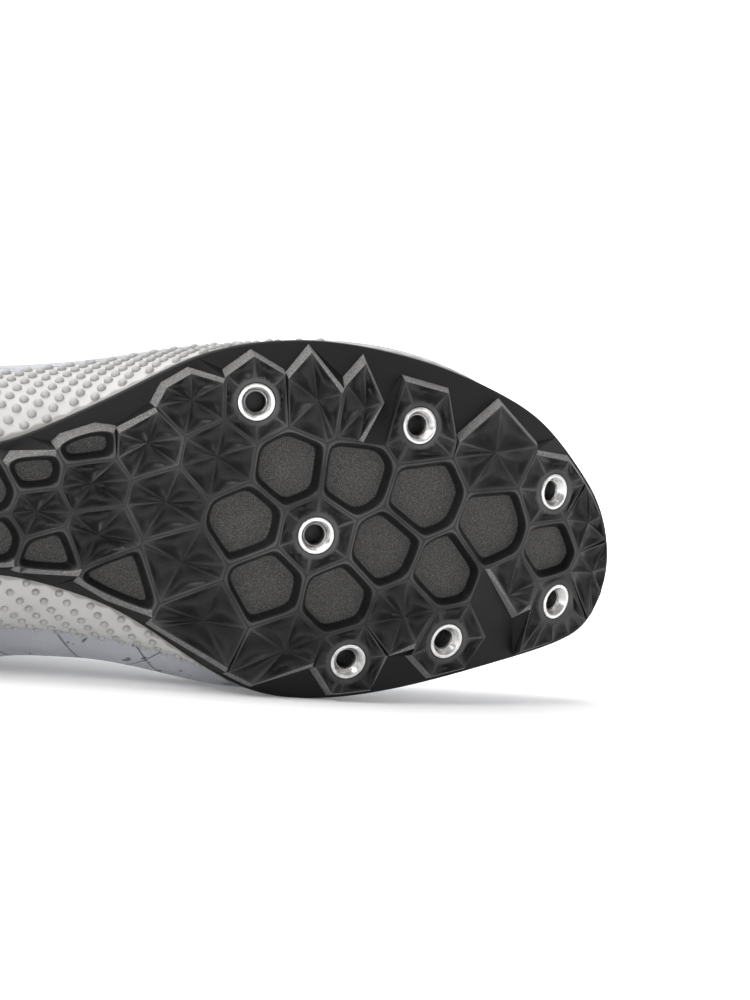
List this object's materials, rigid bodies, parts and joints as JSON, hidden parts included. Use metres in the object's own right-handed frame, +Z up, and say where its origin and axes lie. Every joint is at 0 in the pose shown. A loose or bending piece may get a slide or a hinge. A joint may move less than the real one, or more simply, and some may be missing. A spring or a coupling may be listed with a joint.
{
  "type": "track spike shoe",
  "caption": "Right track spike shoe lying on its side: ridged forefoot plate with metal spike sockets, nubbed foam side, hollow laced upper, open at the collar.",
  "frame": {"origin": "centre of the bounding box in plan, at the floor under the shoe as it lies", "axes": "+X towards the toe along the length, -Y out of the sole, +Z up from the floor, through the medial side first and the lateral side last"},
  "size_m": [0.2916, 0.0988, 0.0965],
  "materials": {
    "plate_black": "satin moulded plastic with a fine grain",
    "socket_steel": "turned",
    "foam_white": "matt moulded foam",
    "upper_silver": "smooth coated textile",
    "tongue_grey": "knitted mesh",
    "insole_black": "brushed cloth over foam",
    "lace_black": "flat woven lace"
  },
  "bodies": {
    "root": {"spike_plate": "plate_black", "midsole": "foam_white", "upper": "upper_silver", "tongue": "tongue_grey", "insole": "insole_black", "spike_socket_1": "socket_steel", "spike_socket_2": "socket_steel", "spike_socket_3": "socket_steel", "spike_socket_4": "socket_steel", "spike_socket_5": "socket_steel", "spike_socket_6": "socket_steel", "spike_socket_7": "socket_steel", "lace_bar_1": "lace_black", "lace_bar_2": "lace_black", "lace_bar_3": "lace_black", "lace_bar_4": "lace_black", "lace_bar_5": "lace_black", "lace_bar_6": "lace_black"}
  },
  "joints": []
}
